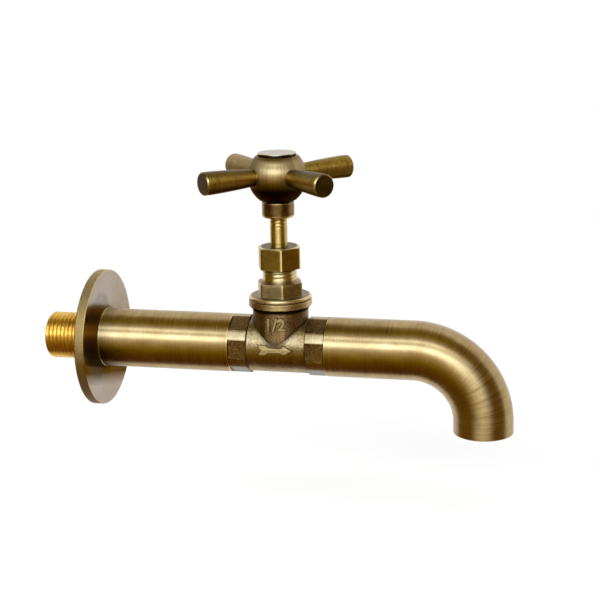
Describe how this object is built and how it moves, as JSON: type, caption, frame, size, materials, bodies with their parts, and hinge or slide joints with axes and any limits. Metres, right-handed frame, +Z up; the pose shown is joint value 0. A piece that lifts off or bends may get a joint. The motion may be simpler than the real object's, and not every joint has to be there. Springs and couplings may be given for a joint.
{
  "type": "cross handle tap",
  "caption": "Wall-mounted bib tap with a cross handle on a rising stem, a globe valve body, a round wall flange and a down-turned tubular spout.",
  "frame": {"origin": "point on the tube axis in the plane of the wall, where the inlet thread leaves the back of the wall flange", "axes": "+X follows the water from the wall to the spout, +Z up the stem, -Y is the front with the flow arrow"},
  "size_m": [0.2101, 0.0608, 0.1206],
  "materials": {
    "antique_brass_brushed": "relieved antique patina, brushed satin",
    "antique_brass_cast": "relieved antique patina over a sand-cast skin",
    "raw_brass": "machined bright",
    "washer_rubber": "matte",
    "red_fibre": "matte",
    "graphite_packing": "matte"
  },
  "bodies": {
    "tap_body": {"inlet_nipple": "raw_brass", "wall_flange": "antique_brass_brushed", "inlet_tube": "antique_brass_brushed", "valve_body": "antique_brass_cast", "spout_tube": "antique_brass_brushed", "bonnet_gasket": "red_fibre", "bonnet": "antique_brass_cast", "gland_packing": "graphite_packing", "gland_ring": "raw_brass", "gland_nut": "antique_brass_cast"},
    "jumper_valve": {"jumper": "raw_brass", "tap_washer": "washer_rubber", "washer_nut": "raw_brass"},
    "handle": {"spindle": "raw_brass", "handle_collar": "antique_brass_brushed", "handle_hub": "antique_brass_brushed", "index_cap": "antique_brass_brushed", "handle_screw": "raw_brass", "handle_arm_1": "antique_brass_brushed", "handle_arm_2": "antique_brass_brushed", "handle_arm_3": "antique_brass_brushed", "handle_arm_4": "antique_brass_brushed"}
  },
  "joints": [
    {"name": "jumper_lift", "type": "slide", "parent": "tap_body", "child": "jumper_valve", "axis": [0, 0, 1], "range_m": [0, 0.00617]},
    {"name": "spindle_turn", "type": "hinge", "parent": "jumper_valve", "child": "handle", "pos_m": [0.08555, 0, 0], "axis": [0, 0, 1], "range_deg": [0, 1110]}
  ],
  "couplings": [
    {"joint": "jumper_lift", "follows": "spindle_turn", "m_per_rad": 0.00031831}
  ]
}
